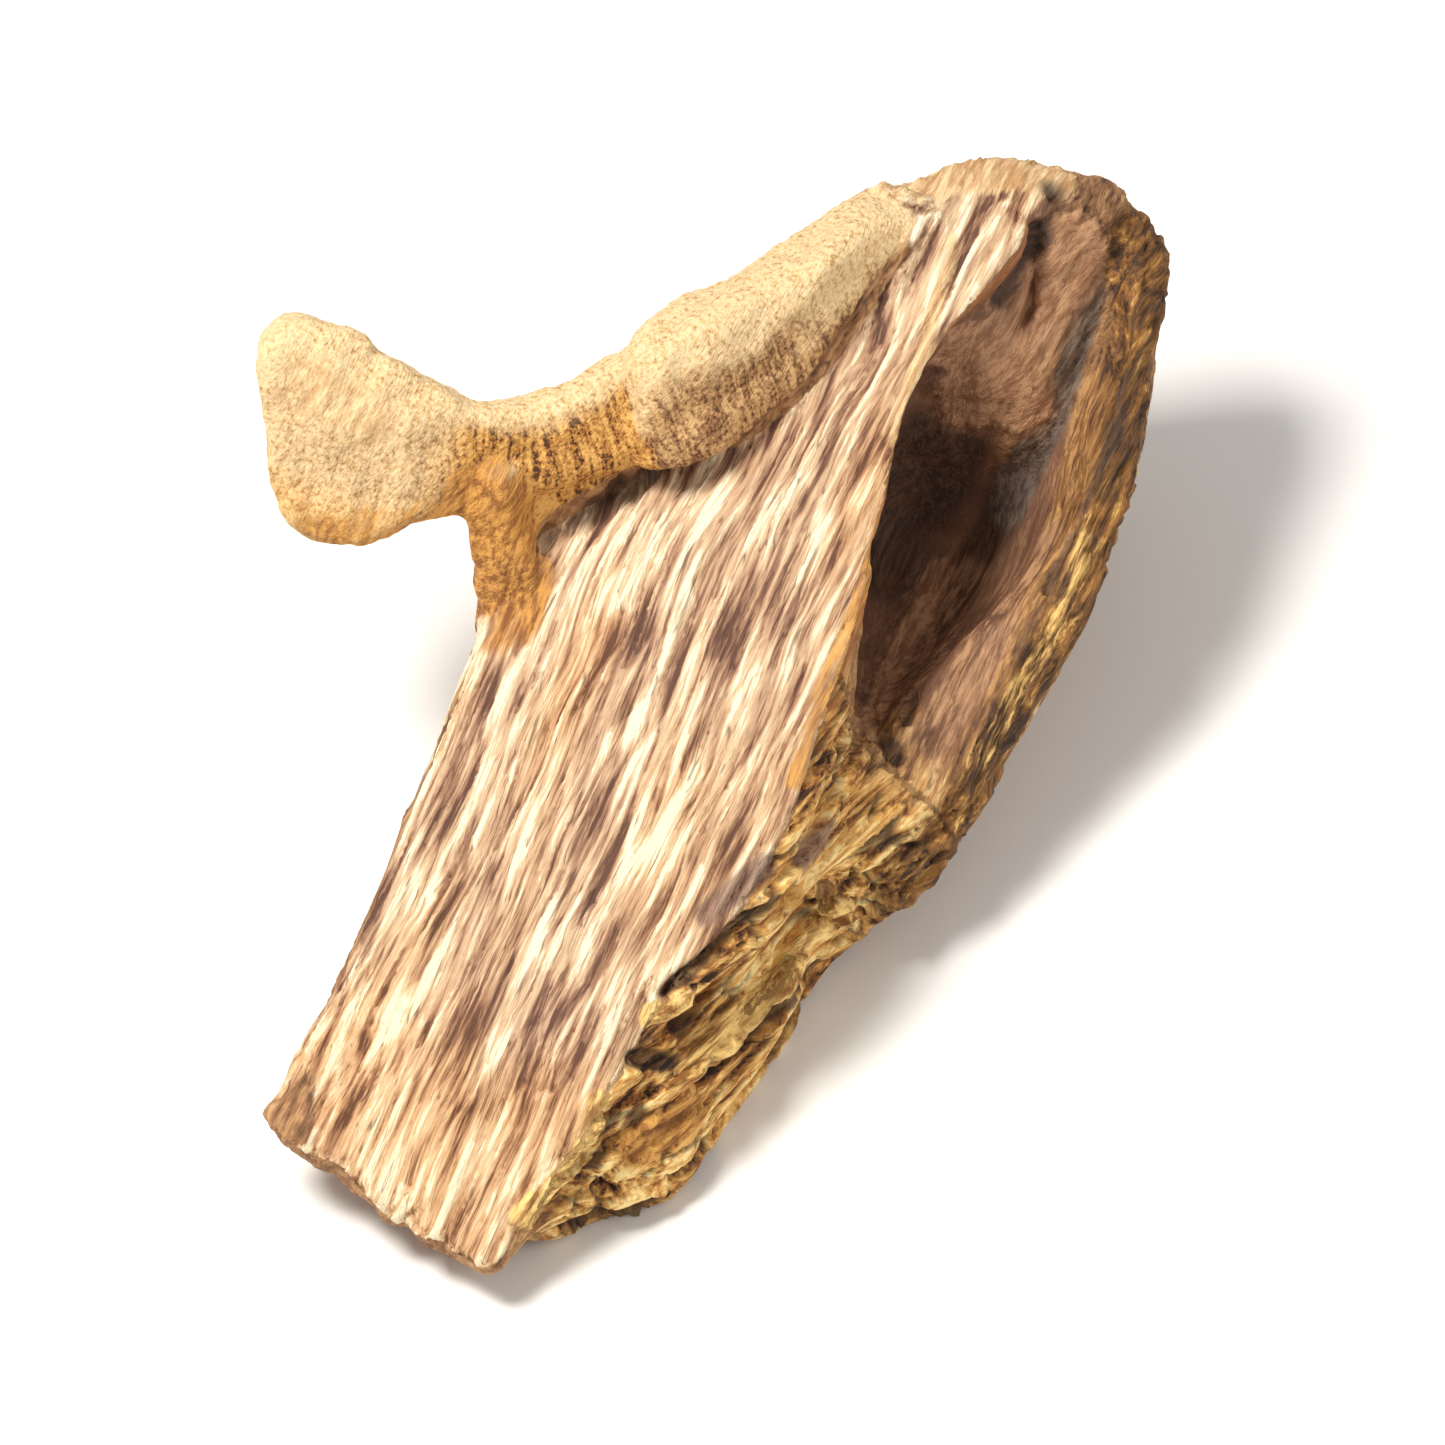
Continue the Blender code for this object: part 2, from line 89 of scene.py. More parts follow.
# Where along the horn its neck and its paddle begin, half its height, and how its fibres slant
NECK_START = (28.0, 29.5)
PADDLE_START = (42.0, 48.0)
HORN_HALF = 4.5
STAND_SLANT = 0.2
# The horizontal direction that the horn's front faces, where browner tones are painted as shade
FRONT = (0.5, -0.87)
# How the layers of the broken wall lean, sideways and upwards, along the grain
LAYER_LEAN = (-0.2, 0.12)
# The crest on the hollow's floor, and the lip of the plate above the hollow
CREST_LINE = [(16.1, 24.4, 8.9), (16.4, 19.4, 9.1), (16.9, 14.1, 9.7), (17.4, 10.8, 10.4),
              (18.3, 6.7, 12.1), (19.2, 2.6, 14.3)]
LIP_LINE = [(18.0, -6.0, 22.6), (17.6, 4.4, 25.2), (16.4, 16.4, 28.2), (16.2, 28.4, 31.0),
            (16.4, 38.4, 33.0)]


@dataclass
class Cloud:
    """Smooth noise: how large it is along each axis, in mm, and how far it is shifted."""
    size: tuple
    shift: tuple


# How the grain sways, and how the edges of laths and chips waver
SWAY = Cloud((14, 26, 14), (1.7, 0.4, 2.2))
RIPPLE = Cloud((3.4, 8.0, 3.4), (6.3, 2.7, 5.1))
SWAY_WIDTH, RIPPLE_WIDTH = 1.3, 0.45
WAVER_ACROSS = Cloud((1.4, 3.0, 1.4), (7.1, 2.6, 9.9))
WAVER_UP = Cloud((1.4, 3.0, 1.4), (0.6, 8.2, 4.1))
WAVER_WIDTH, CHIP_WAVER = 0.3, 0.6

# The laths and chips that the wood has split into, and how wide the cracks between them are
LATHS = Cloud((0.95, 12.0, 2.2), (3.1, 7.7, 0.3))
CHIPS = Cloud((1.9, 15.0, 1.4), (1.9, 0.2, 6.4))
LATH_CRACK, CHIP_CRACK = (0.09, 0.0), (0.1, 0.0)

# The pale streaks: patches of them, the streaks and their threads, and the share of each
PATCHES = Cloud((5.0, 12.0, 5.0), (0.9, 4.2, 8.8))
STREAKS = Cloud((1.0, 9.0, 1.8), (5.7, 1.4, 3.3))
THREADS = Cloud((0.55, 5.5, 0.9), (9.4, 2.9, 5.5))
LATH_PALE, STREAK_PALE, THREAD_PALE, PATCH_PALE = 0.3, 0.85, 0.65, 0.4

# The plate's relief, in mm
PLATE_STEPS = Cloud((3.2, 30.0, 4.0), (5.0, 1.2, 7.4))
PALE_RISE, PLATE_CRACK, PLATE_STEP = 0.34, 0.2, 0.26
PLATE_STEP_COUNT, PLATE_STEP_DROP = 2.2, 0.14

# The horn's relief, in mm
HORN_FIBRES = Cloud((0.5, 1.2, 3.4), (4.4, 0.8, 1.9))
HORN_FACETS = Cloud((5.0, 5.0, 5.0), (8.1, 5.6, 2.0))
HORN_GRIT = Cloud((0.8, 1.0, 0.8), (2.7, 3.5, 6.2))
HORN_FIBRE_RISE, HORN_FACET_RISE, HORN_GRIT_RISE = 0.12, 0.16, 0.08
HORN_FACET_COUNT, HORN_FACET_DROP = 1.4, 0.2

# The broken wall's relief, in mm
BREAK_LINE = Cloud((6.0, 16.0, 6.0), (6.6, 2.1, 4.9))
WALL_NICKS = Cloud((1.2, 3.4, 1.2), (1.1, 5.8, 9.7))
LEDGE_HEIGHT, LEDGE_WANDER, LEDGE_DROP, LEDGE_RISE = 3.2, 0.7, 0.08, 0.8
WALL_CHIP, WALL_CRACK, WALL_NICK = 0.4, 0.4, 0.08

# The hollow's relief, in mm
FLUTES = Cloud((1.6, 16.0, 1.6), (7.2, 4.0, 1.3))
LUMPS = Cloud((1.6, 2.4, 1.6), (2.4, 8.8, 5.2))
FLUTE_RISE, LUMP_RISE, HOLLOW_LATH, HOLLOW_CRACK = 0.3, 0.14, 0.08, 0.12

# The rim's relief, in mm
BITES = Cloud((2.4, 3.6, 2.4), (0.2, 6.7, 3.1))
RIM_NICKS = Cloud((0.9, 1.6, 0.9), (5.3, 1.6, 7.9))
RIM_CHIP, RIM_CRACK, RIM_NICK, BITE_DEPTH, BITE_EDGE = 0.18, 0.2, 0.14, 0.5, (0.1, 0.4)

# The relief of the sides and the underside, in mm
SIDE_FACETS = Cloud((6.0, 22.0, 6.0), (9.9, 3.7, 0.6))
SIDE_FACET_COUNT, SIDE_FACET_DROP, SIDE_FACET_RISE = 1.8, 0.1, 0.35
SIDE_LATH, SIDE_CRACK = 0.12, 0.16

# The ragged edges of strokes, and the slow changes of tone and warmth over the wood
STROKE_EDGES = Cloud((0.9, 2.4, 0.9), (4.8, 7.3, 1.6))
STROKE_RAGGED, STROKE_RISE = 0.5, (0.3, 0.65)
STROKE_FADE, STROKE_BLEND = (1.8, 0.2), (0.05, 0.6)
MURK = Cloud((4.0, 4.0, 4.0), (3.8, 6.1, 0.7))
TONES = Cloud((3.3, 20.0, 3.3), (8.3, 0.9, 4.7))
WARMTHS = Cloud((6.0, 20.0, 6.0), (1.2, 9.4, 2.6))
MIDDLE, SPREAD = 0.5, 0.2
WARM_MIDDLE, FRONT_WARMTH = 0.54, 0.25

# Where each part of the wood begins, and where it is whole
ALONG_FACES = (0.75, 0.4)
WING_REACH, WING_FRONT = (10.0, 4.0), (12.0, 2.0)
RIM_REACH, LIP_REACH = (4.2, 2.0), (2.6, 0.8)
HORN_OVER, HORN_REACH = (1.0, 2.6), (9.5, 7.5)
HORN_OUTSIDE, HORN_OUTSIDE_OVER = (-9.6, -11.0), (0.2, 1.6)
PLATE_LEVEL, PLATE_UP = (3.0, 1.4), (0.45, 0.75)
PLATE_FRONT, PLATE_FRONT_SHARE = (-34.0, -42.0), 0.5
HOLLOW_ALONG, HOLLOW_ACROSS, HOLLOW_ABOVE = (-4.0, 1.0), (7.5, 9.5), (8.0, 9.0)
HOLLOW_UNDER, HOLLOW_BENEATH = (-0.6, -2.4), (18.4, 17.0)
HOLLOW_FACING, HOLLOW_UP = (0.35, 0.1), (-0.1, 0.15)
FAR_PLACE, FAR_FACING = (30.0, 36.0), (0.1, 0.4)
WALL_ACROSS, WALL_ALONG, WALL_FACING = (11.5, 14.0), (4.0, -4.0), (0.15, 0.5)

# How the warm front end, the hollow's wing, the horn's front in painted shade and its golden low parts
# fade in
WARM_FRONT, WARM_EDGES, WING_EDGES = (-30.0, -48.0), (0.48, 0.68), (0.4, 0.75)
FRONT_EDGES, LOW_EDGES = (0.38, 0.68), (0.1, 0.8)
FRONT_BELOW, CLOUDED, PADDLE_FRONT = 0.4, 0.6, 0.7
PADDLE_LOW, NECK_LOW = 0.9, 0.6


@dataclass
class Stroke:
    """A mark of one colour on the wood, with its half width in mm, through the given places."""
    colour: str
    width: float
    strength: float
    line: list


STROKES = [
    # The broken wall: the painted shadow in the crack beneath the plate's edge, its chips with painted
    # shade in their cracks, the lit ridge painted as a highlight, and what is under it
    # Painted shadow in the crack under the plate's overhanging edge
    Stroke("resin_and_shade", 0.6, 1.0, [(16.2, -28.0, 15.8), (19.4, -20.1, 17.4), (21.0, -15.0, 16.4)]),
    Stroke("honey_and_highlight", 1.0, 0.9, [(15.8, -29.6, 14.8), (17.6, -26.4, 13.0), (19.8, -20.4, 14.6)]),
    Stroke("resin_and_shade", 0.8, 0.9, [(15.6, -32.4, 12.6), (17.6, -30.0, 10.6)]),
    Stroke("resin_and_shade", 1.0, 0.9, [(17.6, -27.4, 11.6), (20.8, -16.0, 11.2)]),
    Stroke("honey_and_highlight", 1.2, 1.0, [(17.6, -30.6, 9.6), (20.4, -22.2, 8.6), (20.9, -15.5, 7.6),
                               (22.1, -8.6, 7.4)]),
    Stroke("resin_and_shade", 0.7, 1.0, [(18.6, -29.6, 7.2), (21.0, -19.2, 5.8), (21.4, -11.3, 3.4)]),
    Stroke("rust", 1.8, 0.8, [(17.6, -36.4, 7.4), (19.7, -31.0, 6.0)]),
    Stroke("honey_and_highlight", 0.9, 0.9, [(12.2, -45.6, 6.8), (14.1, -40.8, 8.6), (14.6, -36.6, 11.6)]),
    Stroke("resin_and_shade", 0.5, 0.9, [(13.6, -43.6, 5.4), (16.2, -35.6, 8.8)]),
    Stroke("resin_and_shade", 1.1, 0.9, [(15.2, -41.0, 1.4), (18.6, -35.0, 1.6)]),
    Stroke("mauve", 1.4, 0.65, [(16.9, -21.6, 18.7), (19.4, -16.4, 19.4)]),
    Stroke("mauve", 1.4, 0.65, [(20.6, -12.8, 17.2), (21.4, -9.0, 16.4)]),
    # The plate's left edge, pale with a painted highlight, and its brown right edge beside the hollow's
    # end
    Stroke("edge_highlight", 1.1, 1.0, [(-10.4, -3.0, 18.2), (-10.8, -15.3, 14.6), (-10.9, -25.0, 12.2)]),
    Stroke("rust", 0.9, 0.6, [(16.4, 16.4, 28.0), (17.2, 8.0, 26.1), (17.8, -1.0, 23.9),
                              (18.9, -9.4, 21.7)]),
    Stroke("suede", 0.8, 0.62, [(11.8, 36.0, 32.8), (13.3, 27.6, 31.2), (14.4, 19.0, 29.2)]),
    Stroke("suede", 2.2, 1.0, [(6.2, 38.6, 34.4), (9.6, 42.4, 33.6), (16.0, 45.4, 32.8)]),
    # The hollow: painted shade deep inside it, brown floor and pale crest, grey streak, tan lump, the
    # slot's painted shade, and pits
    # Painted shade deep in the hollow
    Stroke("murk_and_deep_shade", 4.6, 0.8, [(14.0, 22.0, 12.6), (13.4, 29.0, 17.0)]),
    Stroke("murk_and_deep_shade", 2.2, 0.8, [(18.8, 25.6, 10.4), (19.4, 29.6, 14.6)]),
    Stroke("earth", 2.6, 0.9, [(17.6, 22.6, 9.0), (19.8, 7.0, 12.8)]),
    Stroke("tan", 0.85, 1.0, CREST_LINE),
    Stroke("ash", 1.5, 0.95, [(19.6, 28.6, 13.4), (20.8, 33.0, 19.0), (20.9, 41.4, 25.8)]),
    Stroke("tan", 3.2, 1.0, [(15.8, 31.4, 22.4), (17.2, 35.0, 26.4), (19.4, 41.8, 29.0)]),
    Stroke("tan", 2.4, 1.0, [(19.0, 32.6, 21.2), (14.6, 31.6, 26.6)]),
    # Painted shade in the narrow slot beside the plate's edge
    Stroke("resin_and_shade", 1.2, 1.0, [(16.6, 35.4, 29.6), (16.4, 43.6, 32.0)]),
    Stroke("resin_and_shade", 0.9, 0.9, [(20.6, 2.4, 15.5), (22.6, 1.5, 14.9)]),
    Stroke("resin_and_shade", 0.6, 0.9, [(21.8, 4.6, 15.3), (21.2, 8.4, 14.2)]),
    Stroke("earth", 1.7, 0.9, [(24.0, 4.6, 14.0), (24.5, 11.0, 15.1), (25.0, 24.6, 16.8)]),
    # The rim's yellow and the painted shade in its cracks
    Stroke("honey_and_highlight", 1.4, 0.42, [(27.0, 2.6, 11.4), (28.8, 15.7, 15.8), (28.6, 24.0, 18.8)]),
    Stroke("resin_and_shade", 0.5, 0.9, [(27.2, 18.8, 17.6), (27.0, 23.6, 19.4)]),
    Stroke("resin_and_shade", 0.4, 0.8, [(28.4, 26.4, 19.6), (28.8, 29.4, 20.8)]),
    # The horn's neck and strut, the paddle's browner face, and the horn's painted shadow on the plate
    # beneath it
    Stroke("suede", 3.0, 0.6, [(-25.8, -1.1, 38.5), (-20.8, -0.6, 35.7)]),
    Stroke("rust", 4.0, 1.0, [(-9.6, -1.6, 20.6), (-12.0, 1.4, 27.6)]),
    Stroke("rust", 1.9, 0.8, [(-22.0, -6.6, 28.4), (-12.6, 2.4, 28.2)]),
    Stroke("resin_and_shade", 0.8, 0.8, [(-17.4, -1.8, 29.2), (-8.6, 6.6, 28.6)]),
    # Painted shadow of the horn on the plate beneath it
    Stroke("resin_and_shade", 1.4, 0.6, [(-9.2, 2.6, 21.0), (-2.0, 12.6, 26.0)]),
]
# How far each colour of stroke stands out from the wood, in mm
STROKE_HEIGHTS = {"murk_and_deep_shade": 0.0, "resin_and_shade": -0.7, "honey_and_highlight": 0.5, "rust": 0.0, "mauve": -0.1,
                  "suede": 0.1, "edge_highlight": 0.2, "earth": 0.0, "ash": -0.1, "tan": 0.35}


def linear(part):
    """A share of full brightness on a screen, as the light that it stands for (the sRGB curve)."""
    if part <= 0.04045:
        return part / 12.92
    return ((part + 0.055) / 1.055) ** 2.4


def paint(red, green, blue):
    """A colour given as it is seen on a screen, from 0 to 255, as the shader takes it."""
    return (linear(red / 255), linear(green / 255), linear(blue / 255), 1.0)


# Each colour of stroke: its dark and light tones, and how ragged its edges are
STROKE_TONES = {
    # Painted shade deep in the hollow
    "murk_and_deep_shade": (paint(40, 24, 15), paint(92, 62, 42), 0.3),
    "earth": (paint(104, 70, 48), paint(184, 138, 102), 0.6),
    "suede": (paint(184, 138, 90), paint(238, 208, 158), 0.9),
    "ash": (paint(70, 58, 50), paint(122, 106, 94), 0.7),
    "tan": (paint(150, 104, 72), paint(198, 150, 112), 0.7),
    # Honey yellow on the rim, and a painted highlight along the broken wall's lit ridges
    "honey_and_highlight": (paint(138, 88, 34), paint(252, 212, 130), 0.9),
    "rust": (paint(138, 84, 34), paint(216, 156, 76), 0.9),
    # A painted highlight along the plate's left edge
    "edge_highlight": (paint(218, 190, 144), paint(252, 240, 214), 0.7),
    "mauve": (paint(92, 64, 52), paint(152, 118, 100), 0.9),
    # Dark resin marks, and painted shade in cracks, in the hollow's slot and under the horn
    "resin_and_shade": (paint(30, 17, 10), paint(88, 56, 34), 0.9),
}
# Painted shade for fine grooves and cracks, and a darker one for the cracks between chips
GROOVE_SHADE = paint(76, 47, 30)
CRACK_SHADE = paint(34, 19, 12)
RUST = paint(172, 100, 36)
FLOOR = paint(243, 242, 240)


def ramp(value, low, high):
    """From 0 at low to 1 at high, easing at both ends."""
    share = np.clip((value - low) / (high - low), 0.0, 1.0)
    return share * share * (3 - 2 * share)


def noise_over(places, cloud):
    """Smooth noise at each place, from about -1 to 1."""
    rows = places / np.array(cloud.size) + np.array(cloud.shift)
    return np.array([noise.noise(row) for row in rows.tolist()])


def shards_over(places, cloud):
    """Shards of a cloud's size that fill the wood: how tall each stands, from -1 to 1, and how far a
    place is from the crack between it and the next."""
    rows = (places / np.array(cloud.size) + np.array(cloud.shift)).tolist()
    tall = np.zeros(len(rows))
    gap = np.zeros(len(rows))
    for index, row in enumerate(rows):
        distances, centres = noise.voronoi(row)
        tall[index] = noise.cell(centres[0] * SHARD_SHUFFLE)
        gap[index] = distances[1] - distances[0]
    return tall, gap


def line_distance(places, line):
    """How far each place is from a line through the given points, and how far along it that is."""
    nearest = np.full(len(places), np.inf)
    along = np.zeros(len(places))
    passed = 0.0
    for start, end in zip(np.array(line, float), np.array(line[1:], float)):
        step = end - start
        length = np.linalg.norm(step)
        share = np.clip((places - start) @ step / length ** 2, 0.0, 1.0)
        gap = np.linalg.norm(places - start - share[:, None] * step, axis=1)
        closer = gap < nearest
        nearest[closer] = gap[closer]
        along[closer] = passed + share[closer] * length
        passed += length
    return nearest, along


def link(name, mesh):
    """Put a mesh in the scene as an object."""
    made = bpy.data.objects.new(name, mesh)
    bpy.context.scene.collection.objects.link(made)
    return made


def freeze(thing):
    """Replace an object's mesh by what its modifiers make of it."""
    thing.update_tag()
    seen = thing.evaluated_get(bpy.context.evaluated_depsgraph_get())
    made = bpy.data.meshes.new_from_object(seen)
    thing.modifiers.clear()
    thing.data = made


def fine_skin():
    """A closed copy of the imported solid's surface, in small faces drawn out along the grain."""
    shape = bmesh.new()
    shape.from_mesh(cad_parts[NODE].data)
    bmesh.ops.remove_doubles(shape, verts=shape.verts, dist=MM / 1000)
    mesh = bpy.data.meshes.new("weathered_wood")
    shape.to_mesh(mesh)
    shape.free()
    piece = link("weathered_wood", mesh)
    rounder = piece.modifiers.new("rounder", "SUBSURF")
    rounder.levels = rounder.render_levels = 1
    freeze(piece)
    piece.data.transform(Matrix.Diagonal((1, 1 / GRAIN_STRETCH, 1, 1)))
    skin = piece.modifiers.new("skin", "REMESH")
    skin.mode = "VOXEL"
    skin.voxel_size = SKIN_STEP * MM * 1
    freeze(piece)
    piece.data.transform(Matrix.Diagonal((1, GRAIN_STRETCH, 1, 1)))
    ease = piece.modifiers.new("ease", "SMOOTH")
    ease.factor = EASE_SHARE
    ease.iterations = EASE_TIMES
    freeze(piece)
    return piece


def vertex_places(mesh):
    """Each point's place, in mm, and its normal."""
    places = np.zeros(len(mesh.vertices) * 3)
    normals = np.zeros(len(mesh.vertices) * 3)
    mesh.vertices.foreach_get("co", places)
    mesh.vertex_normals.foreach_get("vector", normals)
    return places.reshape(-1, 3) / MM, normals.reshape(-1, 3)


class Places:
    """Where each point of the wood lies: in the grain, and on which part of the piece."""

    def __init__(self, mesh):
        self.at, self.normal = vertex_places(mesh)
        x, y, z = self.at.T
        facing_right, facing_far, self.up = self.normal.T
        self.front_face = FRONT[0] * facing_right + FRONT[1] * facing_far
        self.along_face = ramp(np.abs(facing_far), *ALONG_FACES)
        plate_height = np.interp(y, PLATE_PLACES, PLATE_HEIGHTS) + PLATE_SLOPE * (x - PLATE_MIDDLE)
        self.over_plate = z - plate_height
        self.grain = np.column_stack((x, y, self.over_plate))
        sway = noise_over(self.grain, SWAY)
        ripple = noise_over(self.grain, RIPPLE)
        self.grain[:, 0] += SWAY_WIDTH * sway + RIPPLE_WIDTH * ripple
        self.horn_distance, along_horn = line_distance(self.at, HORN_LINE)
        self.stand = np.column_stack((along_horn, STAND_SLANT * x, z))
        self.neck = ramp(along_horn, *NECK_START) * ramp(along_horn, *PADDLE_START[::-1])
        self.paddle = ramp(along_horn, *PADDLE_START)
        steps = np.linalg.norm(np.diff(HORN_LINE, axis=0), axis=1)
        passed = np.concatenate(([0.0], np.cumsum(steps)))
        horn_middle = np.interp(along_horn, passed, [place[2] for place in HORN_LINE])
        self.below = np.clip((horn_middle - z) / HORN_HALF, -1.0, 1.0)
        rim_distance, _ = line_distance(self.at, RIM_LINE)
        lip_distance, _ = line_distance(self.at, LIP_LINE)
        self.wing = np.maximum(ramp(rim_distance, *WING_REACH), ramp(y, *WING_FRONT))
        self.horn = self.find_horn(x)
        self.plate = self.find_plate()
        self.hollow = self.find_hollow(x, y, z, facing_right, facing_far)
        self.rim = ramp(rim_distance, *RIM_REACH) * (1 - self.horn)
        self.lip = ramp(lip_distance, *LIP_REACH) * (1 - self.horn) * (1 - self.plate)
        self.wall = self.find_wall(x, y, facing_right)
        leaning = (x + LAYER_LEAN[0] * y, y, z + LAYER_LEAN[1] * y)
        self.layers = np.where(self.wall[:, None] > MIDDLE, np.column_stack(leaning), self.grain)

    def find_horn(self, x):
        """The horn stands over the plate, and reaches out past its left edge."""
        over = ramp(self.over_plate, *HORN_OVER) * ramp(self.horn_distance, *HORN_REACH)
        outside = ramp(x, *HORN_OUTSIDE) * ramp(self.over_plate, *HORN_OUTSIDE_OVER)
        return np.maximum(over, outside)

    def find_plate(self):
        """The streaked top face."""
        level = ramp(np.abs(self.over_plate), *PLATE_LEVEL)
        front_end = ramp(self.at[:, 1], *PLATE_FRONT)
        return level * ramp(self.up + PLATE_FRONT_SHARE * front_end, *PLATE_UP) * (1 - self.horn)

    def find_hollow(self, x, y, z, facing_right, facing_far):
        """The space beneath the plate's right edge, up to the rim."""
        reach = (ramp(y, *HOLLOW_ALONG) * ramp(x, *HOLLOW_ACROSS) * ramp(z, *HOLLOW_ABOVE)
                 * ramp(self.over_plate, *HOLLOW_UNDER))
        beneath = ramp(x, *HOLLOW_BENEATH)
        floor = ramp(facing_right, *HOLLOW_FACING) * ramp(self.up, *HOLLOW_UP)
        far_face = ramp(y, *FAR_PLACE) * ramp(facing_far, *FAR_FACING)
        return reach * np.maximum(beneath, floor) * (1 - far_face)

    def find_wall(self, x, y, facing_right):
        """The broken right side, in front of the hollow and below its rim."""
        side = ramp(x, *WALL_ACROSS) * ramp(y, *WALL_ALONG)
        return side * ramp(facing_right, *WALL_FACING) * (1 - self.plate)


def saw(phase, drop):
    """A slow rise and a sudden drop, again and again, from -0.5 to 0.5."""
    share = phase - np.floor(phase)
    return np.where(share < 1 - drop, share / (1 - drop), (1 - share) / drop) - 0.5


class Splits:
    """How the wood has split along the grain: into laths on its faces, and chips where it broke."""

    def __init__(self, places):
        shift = np.zeros_like(places.grain)
        shift[:, 0] = WAVER_WIDTH * noise_over(places.grain, WAVER_ACROSS)
        shift[:, 2] = WAVER_WIDTH * noise_over(places.grain, WAVER_UP)
        self.lath, lath_gap = shards_over(places.grain + shift, LATHS)
        self.lath_crack = ramp(lath_gap, *LATH_CRACK)
        self.chip, chip_gap = shards_over(places.layers + CHIP_WAVER * shift, CHIPS)
        self.chip_crack = ramp(chip_gap, *CHIP_CRACK)
        pale = LATH_PALE * self.lath + STREAK_PALE * noise_over(places.grain, STREAKS)
        pale += THREAD_PALE * noise_over(places.grain, THREADS)
        pale += PATCH_PALE * noise_over(places.grain, PATCHES)
        self.pale = np.clip(pale, -1.0, 1.0)


def plate_relief(places, splits):
    """Raised pale streaks, sunk dark ones, and laths that have split apart."""
    steps = saw(PLATE_STEP_COUNT * noise_over(places.grain, PLATE_STEPS), PLATE_STEP_DROP)
    return PALE_RISE * splits.pale - PLATE_CRACK * splits.lath_crack + PLATE_STEP * steps


def horn_relief(places):
    """Short fibres that stand across the horn, and flat hewn facets."""
    standing = noise_over(places.stand, HORN_FIBRES)
    facets = saw(HORN_FACET_COUNT * noise_over(places.at, HORN_FACETS), HORN_FACET_DROP)
    grit = noise_over(places.at, HORN_GRIT)
    return HORN_FIBRE_RISE * standing + HORN_FACET_RISE * facets + HORN_GRIT_RISE * grit


def wall_relief(places, splits):
    """Ledges and splinters where the wood broke away in layers."""
    wander = LEDGE_WANDER * noise_over(places.layers, BREAK_LINE)
    ledges = saw(places.layers[:, 2] / LEDGE_HEIGHT + wander, LEDGE_DROP)
    nicks = noise_over(places.layers, WALL_NICKS)
    chips = WALL_CHIP * splits.chip - WALL_CRACK * splits.chip_crack
    return LEDGE_RISE * ledges + chips + WALL_NICK * nicks


def hollow_relief(places, splits):
    """Long flutes and small lumps of resin."""
    flutes = noise_over(places.grain, FLUTES)
    lumps = noise_over(places.at, LUMPS)
    laths = HOLLOW_LATH * splits.lath - HOLLOW_CRACK * splits.lath_crack
    return (FLUTE_RISE * flutes + laths) * places.along_face + LUMP_RISE * lumps


def rim_relief(places, splits):
    """The bitten edge of the rim, split along the grain."""
    bites = ramp(noise_over(places.at, BITES), *BITE_EDGE)
    nicks = noise_over(places.grain, RIM_NICKS)
    chips = RIM_CHIP * splits.chip - RIM_CRACK * splits.chip_crack
    return chips + RIM_NICK * nicks - BITE_DEPTH * bites


def side_relief(places, splits):
    """Hewn facets and fibres on the sides and beneath."""
    facets = saw(SIDE_FACET_COUNT * noise_over(places.grain, SIDE_FACETS), SIDE_FACET_DROP)
    return SIDE_FACET_RISE * facets + SIDE_LATH * splits.lath - SIDE_CRACK * splits.lath_crack


def carve(mesh, places, splits, covers):
    """Move each point along its normal by the relief of the part that it lies on."""
    rest = 1 - np.clip(places.plate + places.horn + places.wall + places.hollow, 0, 1)
    height = places.plate * plate_relief(places, splits) + places.horn * horn_relief(places)
    height += places.wall * wall_relief(places, splits)
    height += places.hollow * hollow_relief(places, splits)
    height += rest * side_relief(places, splits) + places.rim * rim_relief(places, splits)
    ragged = STROKE_RAGGED * noise_over(places.grain, STROKE_EDGES)
    for colour, cover in covers.items():
        height += STROKE_HEIGHTS[colour] * ramp(cover + ragged, *STROKE_RISE)
    height *= ramp(places.at[:, 2], 0.0, FOOT_HEIGHT)
    moved = (places.at + places.normal * height[:, None]) * MM
    low, high = (np.array(corner) for corner in CAD_BOX)
    mesh.vertices.foreach_set("co", np.clip(moved, low, high).ravel())
    mesh.update()


def keep_value(mesh, name, values):
    """Store a number at each point of the mesh, for the material."""
    kept = mesh.attributes.new(name, "FLOAT", "POINT")
    kept.data.foreach_set("value", values.astype(np.float32))


def keep_vector(mesh, name, values):
    """Store a vector at each point of the mesh, for the material."""
    kept = mesh.attributes.new(name, "FLOAT_VECTOR", "POINT")
    kept.data.foreach_set("vector", values.astype(np.float32).ravel())


def stroke_share(places, colour):
    """How strongly the strokes of one colour cover each point, fading out at their edges."""
    cover = np.zeros(len(places.at))
    for stroke in STROKES:
        if stroke.colour == colour:
            gap, _ = line_distance(places.at, stroke.line)
            cover = np.maximum(cover, stroke.strength * ramp(gap / stroke.width, *STROKE_FADE))
    return cover


def mark_strokes(mesh, covers):
    """Store how far strokes cover each point, their dark and light colours, and their raggedness."""
    count = len(mesh.vertices)
    total, ragged = np.zeros(count), np.zeros(count)
    dark, light = np.zeros((count, 3)), np.zeros((count, 3))
    for name, (dark_tone, light_tone, raggedness) in STROKE_TONES.items():
        cover = covers[name]
        share = np.where(total > 0, ramp(cover, *STROKE_BLEND), cover > 0)
        total = np.maximum(total, cover)
        dark += (np.array(dark_tone[:3]) - dark) * share[:, None]
        light += (np.array(light_tone[:3]) - light) * share[:, None]
        ragged += (raggedness - ragged) * share
    keep_value(mesh, "stroke", total)
    keep_value(mesh, "stroke_ragged", ragged)
    keep_vector(mesh, "stroke_dark", dark)
    keep_vector(mesh, "stroke_light", light)


